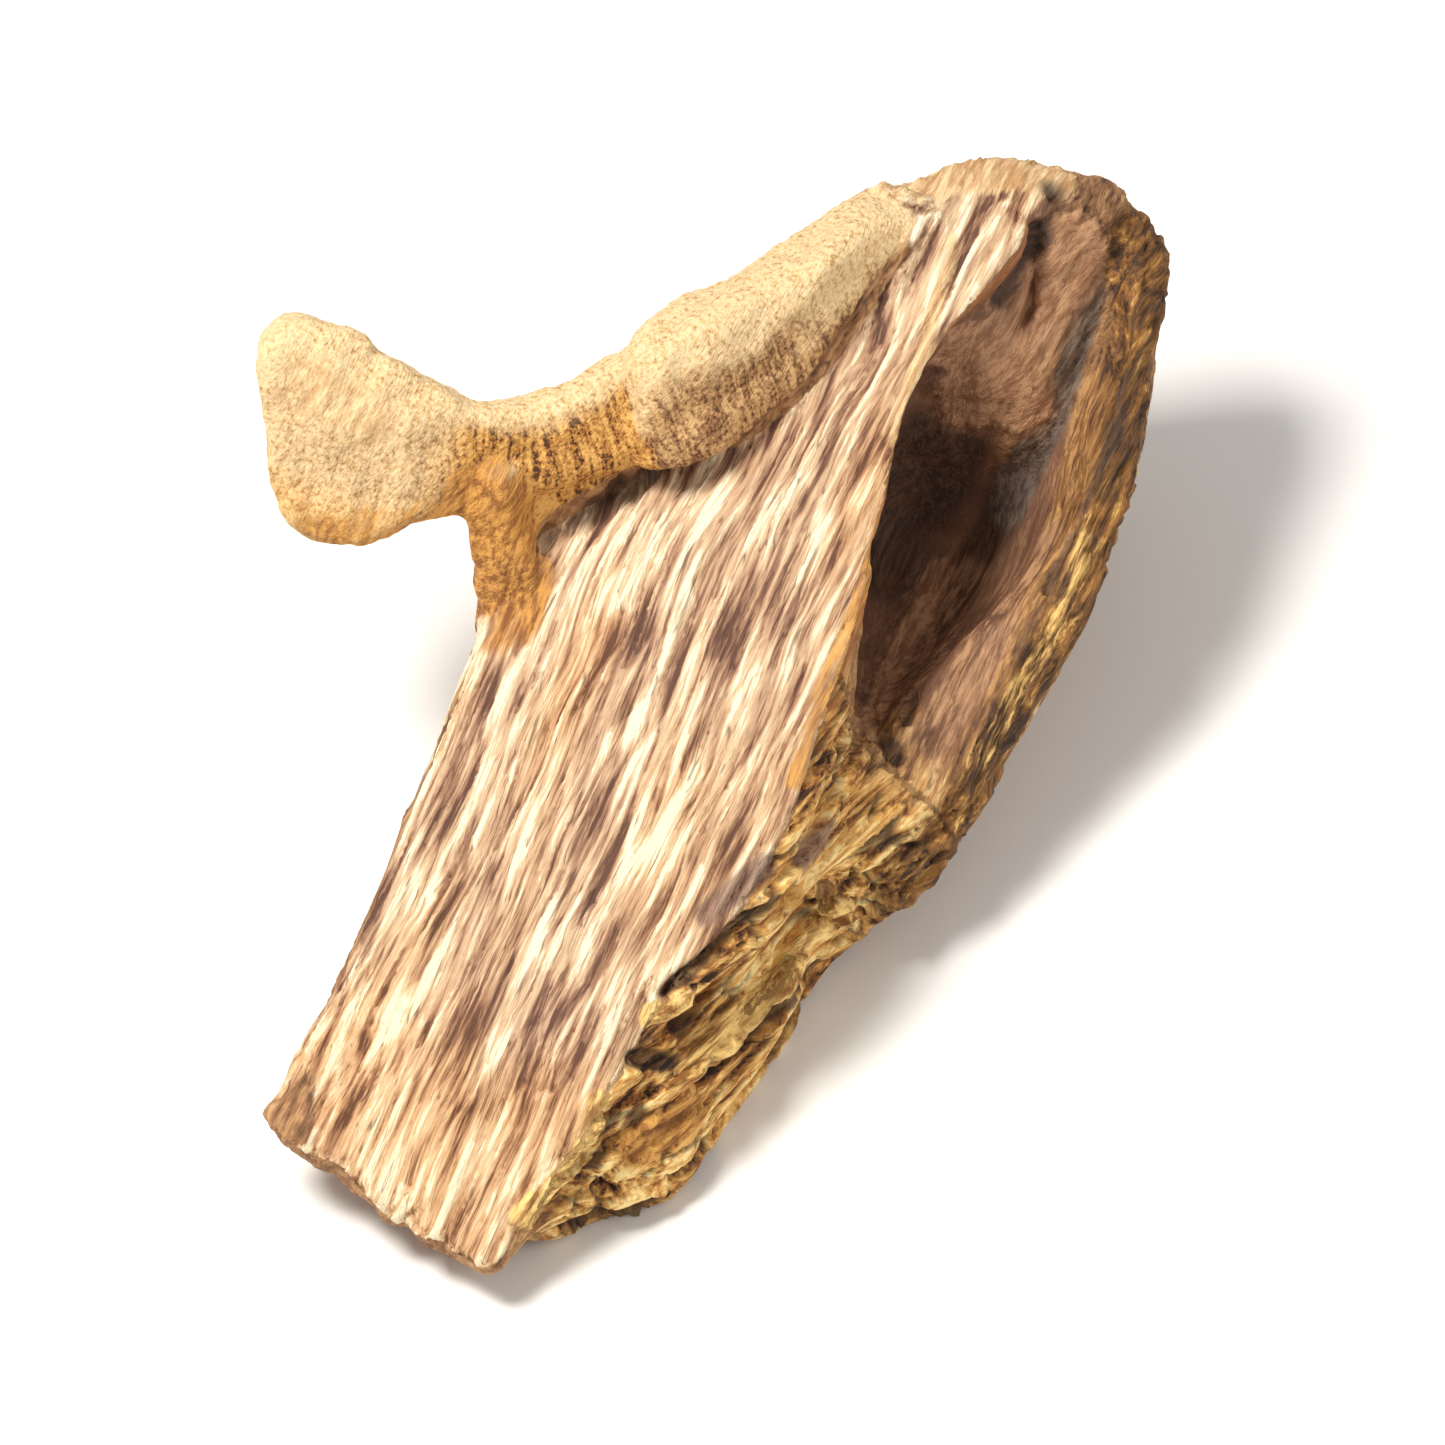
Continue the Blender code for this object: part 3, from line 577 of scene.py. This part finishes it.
def mark_places(mesh, places, splits, covers):
    """Store what the material needs to know about each point."""
    clouded = SPREAD * noise_over(places.at, MURK)
    # Painted shade on the horn's front face and underside, less of it on the paddle
    front = ramp(places.front_face + FRONT_BELOW * places.below + CLOUDED * clouded, *FRONT_EDGES)
    low = ramp(places.below + clouded, *LOW_EDGES)
    near_front = FRONT_WARMTH * ramp(places.at[:, 1], *WARM_FRONT)
    warmth = WARM_MIDDLE + SPREAD * noise_over(places.grain, WARMTHS) + near_front
    for name in ("plate", "horn", "hollow", "rim", "wall", "lip", "neck", "along_face"):
        keep_value(mesh, name, getattr(places, name))
    for name in ("pale", "lath_crack", "chip", "chip_crack"):
        keep_value(mesh, name, getattr(splits, name))
    keep_value(mesh, "cloud", MIDDLE + clouded)
    keep_value(mesh, "tone", MIDDLE + SPREAD * noise_over(places.grain, TONES))
    keep_value(mesh, "warmth", ramp(warmth, *WARM_EDGES))
    keep_value(mesh, "wing", ramp(places.wing + CLOUDED * clouded, *WING_EDGES))
    keep_value(mesh, "front", front * (1 - PADDLE_FRONT * places.paddle))
    keep_value(mesh, "low", low * (PADDLE_LOW * places.paddle + NECK_LOW * places.neck))
    mark_strokes(mesh, covers)
    keep_vector(mesh, "grain", places.grain)
    keep_vector(mesh, "layers", places.layers)
    keep_vector(mesh, "stand", places.stand)


# The sockets of a Mix node that mixes colours: its share, its two colours and its result
MIX_SHARE, MIX_LOW, MIX_HIGH, MIX_RESULT = 0, 6, 7, 2


class Wire:
    """A value, colour or vector in a material. Arithmetic on values adds the Math nodes for it."""

    def __init__(self, tree, socket=None):
        self.tree = tree
        self.socket = socket

    def node(self, kind, inputs, output=0, stops=(), **settings):
        """Add a node with its settings and a ramp's stops, then its sockets' values or links, and give
        one of its outputs."""
        made = self.tree.nodes.new(kind)
        for name, value in settings.items():
            setattr(made, name, value)
        if stops:
            made.color_ramp.interpolation = "EASE"
        for index, (place, colour) in enumerate(stops):
            elements = made.color_ramp.elements
            stop = elements[index] if index < len(elements) else elements.new(place)
            stop.position, stop.color = place, colour
        for key, value in inputs.items():
            if isinstance(value, Wire):
                self.tree.links.new(value.socket, made.inputs[key])
            else:
                made.inputs[key].default_value = value
        return Wire(self.tree, made.outputs[output])

    def math(self, operation, first, second):
        return self.node("ShaderNodeMath", {0: first, 1: second}, operation=operation)

    def __add__(self, other):
        return self.math("ADD", self, other)

    def __sub__(self, other):
        return self.math("SUBTRACT", self, other)

    def __rsub__(self, other):
        return self.math("SUBTRACT", other, self)

    def __mul__(self, other):
        return self.math("MULTIPLY", self, other)

    __radd__ = __add__
    __rmul__ = __mul__

    def kept(self, name, output="Fac"):
        """What is stored under a name at each point, from one node for each name."""
        for made in self.tree.nodes:
            if made.bl_idname == "ShaderNodeAttribute" and made.attribute_name == name:
                return Wire(self.tree, made.outputs[output])
        return self.node("ShaderNodeAttribute", {}, output, attribute_name=name)

    def times(self, amounts):
        """A vector scaled along each axis."""
        return self.node("ShaderNodeVectorMath", {0: self, 1: amounts}, operation="MULTIPLY")

    def size(self):
        """How large a value is, whichever its sign."""
        return self.math("ABSOLUTE", self, 0.0)

    def noise(self, amounts, detail, roughness):
        """Noise over a vector, scaled along each axis, from 0 to 1."""
        sockets = {"Vector": self.times(amounts), "Scale": 1.0, "Detail": detail,
                   "Roughness": roughness}
        return self.node("ShaderNodeTexNoise", sockets)

    def mix_value(self, low, high):
        """One value where this value is 0, and another where it is 1."""
        return low + self * (high - low)

    def between(self, low, high):
        """From 0 at low to 1 at high, easing at both ends."""
        return self.node("ShaderNodeMapRange", {"Value": self, "From Min": low, "From Max": high},
                         interpolation_type="SMOOTHSTEP")

    def mix(self, low, high):
        """One colour where this value is 0, and another where it is 1."""
        sockets = {MIX_SHARE: self, MIX_LOW: low, MIX_HIGH: high}
        return self.node("ShaderNodeMix", sockets, MIX_RESULT, data_type="RGBA")

    def through(self, stops):
        """The colours at the given values, blended from each to the next."""
        return self.node("ShaderNodeValToRGB", {"Fac": self}, "Color", stops)

    def over(self, under, colour, share):
        """A colour laid over another where this value says."""
        return (self * share).mix(under, colour)


# Scales of the fine noise: how many waves there are in a mm along each axis, and its detail
FIBRE_SCALE, FIBRE_DETAIL, FIBRE_ROUGHNESS = (1.7, 0.17, 1.4), 4.0, 0.7
PLATE_SCALE, PLATE_DETAIL, PLATE_ROUGHNESS = (2.8, 0.16, 1.5), 3.0, 0.66
LINE_SCALE, LINE_DETAIL, LINE_ROUGHNESS = (1.2, 0.06, 0.8), 1.0, 0.55
STAND_SCALE, SPECK_SCALE = (2.1, 1.0, 0.26), (2.6, 2.6, 2.6)
HORN_DETAIL, HORN_ROUGHNESS = 2.0, 0.65
HAIR_SCALE, HAIR_DETAIL, HAIR_ROUGHNESS = (4.0, 0.6, 4.0), 2.0, 0.6

# The shares that noise and stored values have in each part's tone, and what is added last
FIBRE_SPREAD, FIBRE_SHIFT = 0.8, 0.1
PLATE_PALE, PLATE_FINE, PLATE_TONE, PLATE_SHIFT = 0.23, 0.68, 0.3, 0.037
LINE_WIDTH, LINE_PLACES, LINE_SHARE = 0.02, (0.6, 0.46), 0.65
HORN_SIDE_FIBRES, HORN_SIDE_SPECKS = 0.5, 0.5
HORN_TOP_FIBRES, HORN_TOP_SPECKS, GOLD_SHARE = 0.2, 0.8, 0.9
MURK_FIBRES, MURK_CLOUD = 0.6, 0.4
CALM_FIBRES, CALM_CLOUD, CALM_SHIFT = 0.5, 0.2, 0.15
SIDE_FIBRES, SIDE_TONE, SIDE_SHIFT, SIDE_CRACK_SHARE = 0.8, 0.3, 0.05, 0.7
RIM_FIBRES, RIM_CLOUD, RIM_SHIFT, RIM_CRACK_SHARE = 1.05, 0.25, 0.15, 0.6
WALL_CHIP_HIGHLIGHT, WALL_CRACK_SHARE = 0.06, 0.85
RIM_SHARE, LIP_SHARE, STROKE_SHARE = 0.95, 0.45, 0.85
PLATE_EDGES, HORN_EDGES, STROKE_EDGE = (0.35, 0.65), (0.3, 0.7), (0.3, 0.62)
STROKE_TONE_RANGE, STROKE_EDGE_RAGGED = (0.4, 0.6), 1.2
BUMP_STRENGTH, BUMP_DISTANCE = 0.7, 0.0003
DRY_ROUGHNESS, RESIN_GLOSS = 0.84, 0.15

# The tones of each part, from dark to light, at the values where each is reached
PLATE_COOL = [(0.28, paint(96, 64, 50)), (0.36, paint(148, 110, 84)), (0.44, paint(190, 154, 122)),
              (0.52, paint(214, 184, 147)), (0.59, paint(242, 228, 198))]
PLATE_WARM = [(0.28, paint(98, 60, 34)), (0.36, paint(156, 110, 74)), (0.44, paint(200, 156, 112)),
              (0.52, paint(220, 184, 140)), (0.59, paint(240, 222, 186))]
HORN_TOP = [(0.34, paint(176, 134, 84)), (0.43, paint(214, 178, 126)), (0.56, paint(232, 204, 158))]
# The horn's front in painted shade, darker still on the neck, where its dark marks gather
HORN_SHADED_FRONT = [(0.4, paint(96, 62, 36)), (0.47, paint(158, 114, 72)), (0.58, paint(210, 168, 114))]
NECK_SHADED_FRONT = [(0.4, paint(78, 46, 22)), (0.47, paint(182, 124, 58)), (0.58, paint(226, 176, 98))]
HORN_GOLD = [(0.4, paint(206, 144, 66)), (0.6, paint(244, 200, 124))]
HOLLOW_DEEP = [(0.36, paint(78, 50, 34)), (0.48, paint(118, 80, 56)), (0.62, paint(164, 120, 88))]
HOLLOW_WING = [(0.38, paint(74, 44, 22)), (0.47, paint(134, 92, 52)), (0.6, paint(190, 142, 84))]
SIDE_TONES = [(0.36, paint(72, 46, 28)), (0.46, paint(140, 98, 64)), (0.54, paint(178, 134, 90)),
              (0.66, paint(220, 184, 134))]
RIM_TONES = [(0.4, paint(52, 31, 14)), (0.48, paint(100, 64, 25)), (0.57, paint(142, 94, 38)),
             (0.68, paint(214, 172, 96))]
WALL_TONES = [(0.37, paint(56, 32, 14)), (0.44, paint(156, 101, 46)), (0.52, paint(218, 164, 87)),
              (0.61, paint(252, 222, 152))]


def fibres(layers):
    """Long fibres of the wood, most about half a millimetre wide, from 0 to 1."""
    return layers.noise(FIBRE_SCALE, FIBRE_DETAIL, FIBRE_ROUGHNESS) * FIBRE_SPREAD + FIBRE_SHIFT


def plate_colour(start, grain):
    """Cream streaks over tan and purplish brown wood, with dark hairlines of painted shade in fine
    grooves.
    """
    fine = grain.noise(PLATE_SCALE, PLATE_DETAIL, PLATE_ROUGHNESS)
    value = start.kept("pale") * PLATE_PALE + fine * PLATE_FINE + start.kept("tone") * PLATE_TONE
    value = value - PLATE_SHIFT
    base = start.kept("warmth").mix(value.through(PLATE_COOL), value.through(PLATE_WARM))
    thread = grain.noise(LINE_SCALE, LINE_DETAIL, LINE_ROUGHNESS) - MIDDLE
    # Thin dark hairlines where the grain is darker: painted shade of fine grooves
    groove_shade_lines = thread.size().between(LINE_WIDTH, 0.0) * fine.between(*LINE_PLACES)
    return groove_shade_lines.over(base, GROOVE_SHADE, LINE_SHARE)


def horn_colour(start, stand, places):
    """Pale suede-like wood, painted browner on its front and underside as shade, with short dark fibres
    across it.
    """
    fibre = stand.noise(STAND_SCALE, HORN_DETAIL, HORN_ROUGHNESS)
    speck = places.noise(SPECK_SCALE, HORN_DETAIL, HORN_ROUGHNESS)
    value = fibre * HORN_SIDE_FIBRES + speck * HORN_SIDE_SPECKS
    top = (fibre * HORN_TOP_FIBRES + speck * HORN_TOP_SPECKS).through(HORN_TOP)
    # The horn's front in painted shade: browner tones, darker still on the neck
    side = start.kept("neck").mix(value.through(HORN_SHADED_FRONT), value.through(NECK_SHADED_FRONT))
    golden = start.kept("low").over(top, value.through(HORN_GOLD), GOLD_SHARE)
    return start.kept("front").mix(golden, side)


def hollow_colour(start, value):
    """Brown wood darkened by resin, with long streaks, and yellower towards the rim."""
    cloud = start.kept("cloud")
    murk_and_deep_shade = start.kept("along_face").mix_value(cloud, value * MURK_FIBRES + cloud * MURK_CLOUD)
    return start.kept("wing").mix(murk_and_deep_shade.through(HOLLOW_DEEP), value.through(HOLLOW_WING))


def side_colour(start, value):
    """Weathered brown wood, with straw fibres and split laths, and calmer on its end faces."""
    along_face = start.kept("along_face")
    calm = value * CALM_FIBRES + start.kept("cloud") * CALM_CLOUD + CALM_SHIFT
    split = value * SIDE_FIBRES + start.kept("tone") * SIDE_TONE - SIDE_SHIFT
    shade = along_face.mix_value(calm, split)
    # Painted shade in the cracks between split laths
    cracks = start.kept("lath_crack") * along_face
    return cracks.over(shade.through(SIDE_TONES), GROOVE_SHADE, SIDE_CRACK_SHARE)


def rim_colour(start, value):
    """Yellow-brown wood, split along the grain, with pale edges and painted shade in its cracks."""
    shade = value * RIM_FIBRES + start.kept("cloud") * RIM_CLOUD - RIM_SHIFT
    return start.kept("chip_crack").over(shade.through(RIM_TONES), CRACK_SHADE, RIM_CRACK_SHARE)


def wall_colour(start, value):
    """Orange-brown broken wood, golden where splinters stand proud as a painted highlight, with painted
    shade in the cracks between them.
    """
    # Taller chips are painted lighter, as a highlight
    shade = value + start.kept("chip") * WALL_CHIP_HIGHLIGHT
    return start.kept("chip_crack").over(shade.through(WALL_TONES), CRACK_SHADE, WALL_CRACK_SHARE)


def agarwood_material():
    """The wood's colour, roughness and fine fibres, by the part that each point lies on."""
    material = bpy.data.materials.new("agarwood")
    material.use_nodes = True
    tree = material.node_tree
    shader = tree.nodes["Principled BSDF"]
    start = Wire(tree)
    grain = start.kept("grain", "Vector")
    stand = start.kept("stand", "Vector")
    places = start.node("ShaderNodeTexCoord", {}, "Object").times((1 / MM, 1 / MM, 1 / MM))
    layers = start.kept("layers", "Vector")
    value = fibres(layers)
    colour = side_colour(start, value)
    colour = start.kept("wall").mix(colour, wall_colour(start, value))
    colour = start.kept("hollow").mix(colour, hollow_colour(start, value))
    colour = start.kept("rim").over(colour, rim_colour(start, value), RIM_SHARE)
    colour = start.kept("lip").over(colour, RUST, LIP_SHARE)
    uneven = value - MIDDLE
    plate = (start.kept("plate") + uneven).between(*PLATE_EDGES)
    colour = plate.mix(colour, plate_colour(start, grain))
    horn = (start.kept("horn") + uneven).between(*HORN_EDGES)
    colour = horn.mix(colour, horn_colour(start, stand, places))
    dark, light = start.kept("stroke_dark", "Color"), start.kept("stroke_light", "Color")
    strokes = value.between(*STROKE_TONE_RANGE).mix(dark, light)
    ragged = uneven * start.kept("stroke_ragged") * STROKE_EDGE_RAGGED
    cover = (start.kept("stroke") + ragged).between(*STROKE_EDGE)
    colour = cover.over(colour, strokes, STROKE_SHARE)
    hair = layers.noise(HAIR_SCALE, HAIR_DETAIL, HAIR_ROUGHNESS)
    sockets = {"Strength": BUMP_STRENGTH, "Distance": BUMP_DISTANCE, "Height": hair}
    bump = start.node("ShaderNodeBump", sockets, "Normal")
    roughness = DRY_ROUGHNESS - start.kept("hollow") * RESIN_GLOSS
    for socket, wire in (("Base Color", colour), ("Roughness", roughness), ("Normal", bump)):
        tree.links.new(wire.socket, shader.inputs[socket])
    return material


def thin(piece):
    """Merge small faces where the surface is flattest, until few enough triangles are left."""
    thinner = piece.modifiers.new("thinner", "DECIMATE")
    thinner.ratio = min(1.0, TRIANGLES / sum(len(face.vertices) - 2 for face in piece.data.polygons))
    freeze(piece)


def agarwood():
    """The weathered wood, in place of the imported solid."""
    piece = fine_skin()
    mesh = piece.data
    places = Places(mesh)
    splits = Splits(places)
    covers = {colour: stroke_share(places, colour) for colour in STROKE_HEIGHTS}
    carve(mesh, places, splits, covers)
    mark_places(mesh, places, splits, covers)
    thin(piece)
    piece.data.materials.clear()
    piece.data.materials.append(agarwood_material())
    piece.data.shade_smooth()
    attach(piece, "root")
    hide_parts(NODE)


FLOOR_HALF = 1.5


def studio_floor():
    """A plain pale floor."""
    mesh = bpy.data.meshes.new("floor")
    corners = [(-FLOOR_HALF, -FLOOR_HALF, 0), (FLOOR_HALF, -FLOOR_HALF, 0),
               (FLOOR_HALF, FLOOR_HALF, 0), (-FLOOR_HALF, FLOOR_HALF, 0)]
    mesh.from_pydata(corners, [], [(0, 1, 2, 3)])
    material = bpy.data.materials.new("floor")
    material.use_nodes = True
    shader = material.node_tree.nodes["Principled BSDF"]
    shader.inputs["Base Color"].default_value = FLOOR
    shader.inputs["Roughness"].default_value = 1.0
    shader.inputs["Specular IOR Level"].default_value = 0.0
    mesh.materials.append(material)
    floor = link("floor", mesh)


# The photograph's viewing angle, and the part of it that the picture shows
AZIMUTH, ELEVATION = 24.0, 50.0
PIXELS_PER_MM = 3.45
VIEW_PIXELS = 380
LENS = 900.0
SENSOR = 36.0
# The middle of the picture, in mm to the right, upwards and towards the camera
VIEW_MIDDLE = (7.8, 6.0, 15.0)
CLIP_SPAN = 100


def view_axes():
    """The camera's right, up and backward directions."""
    turn, tilt = math.radians(AZIMUTH), math.radians(ELEVATION)
    right = Vector((math.cos(turn), math.sin(turn), 0))
    level = math.cos(tilt)
    back = Vector((math.sin(turn) * level, -math.cos(turn) * level, math.sin(tilt)))
    return right, back.cross(right), back


def camera():
    """A long lens at the photograph's viewing angle."""
    right, up, back = view_axes()
    made = bpy.data.cameras.new("camera")
    made.sensor_width = SENSOR
    made.lens = LENS
    distance = VIEW_PIXELS / PIXELS_PER_MM * MM * LENS / SENSOR
    made.clip_start, made.clip_end = distance / CLIP_SPAN, distance * CLIP_SPAN
    placed = bpy.data.objects.new("camera", made)
    bpy.context.scene.collection.objects.link(placed)
    middle = (right * VIEW_MIDDLE[0] + up * VIEW_MIDDLE[1] + back * VIEW_MIDDLE[2]) * MM
    turned = Matrix((right, up, back)).transposed().to_4x4()
    placed.matrix_world = Matrix.Translation(middle + back * distance) @ turned
    bpy.context.scene.camera = placed


@dataclass
class Lamp:
    """A square lamp: its direction to the right, upwards and towards the camera, and the rest in
    metres and watts."""
    name: str
    direction: tuple
    distance: float
    size: float
    power: float


LAMPS = [Lamp("key", (-0.45, 0.55, 0.8), 0.6, 0.18, 4.2), Lamp("fill", (0.9, 0.1, 0.6), 0.7, 0.5, 1.5)]
LAMP_COLOUR = (1.0, 0.97, 0.92)
SKY_COLOUR = (1.0, 0.99, 0.97, 1.0)
SKY_STRENGTH = 0.4


def area_light(lamp):
    """A soft square lamp that points at the wood."""
    light = bpy.data.lights.new(lamp.name, "AREA")
    light.size = lamp.size
    light.energy = lamp.power
    light.color = LAMP_COLOUR
    placed = bpy.data.objects.new(lamp.name, light)
    bpy.context.scene.collection.objects.link(placed)
    right, up, back = view_axes()
    direction = right * lamp.direction[0] + up * lamp.direction[1] + back * lamp.direction[2]
    placed.location = direction.normalized() * lamp.distance
    placed.rotation_mode = "QUATERNION"
    placed.rotation_quaternion = direction.to_track_quat("Z", "Y")


def studio_light():
    """A broad key from the upper left, a soft fill, and a pale surround."""
    for lamp in LAMPS:
        area_light(lamp)
    world = bpy.data.worlds.new("studio")
    world.use_nodes = True
    sky = world.node_tree.nodes["Background"]
    sky.inputs["Color"].default_value = SKY_COLOUR
    sky.inputs["Strength"].default_value = SKY_STRENGTH
    bpy.context.scene.world = world
    bpy.context.scene.view_settings.view_transform = "Standard"


camera()
studio_light()
studio_floor()
agarwood()
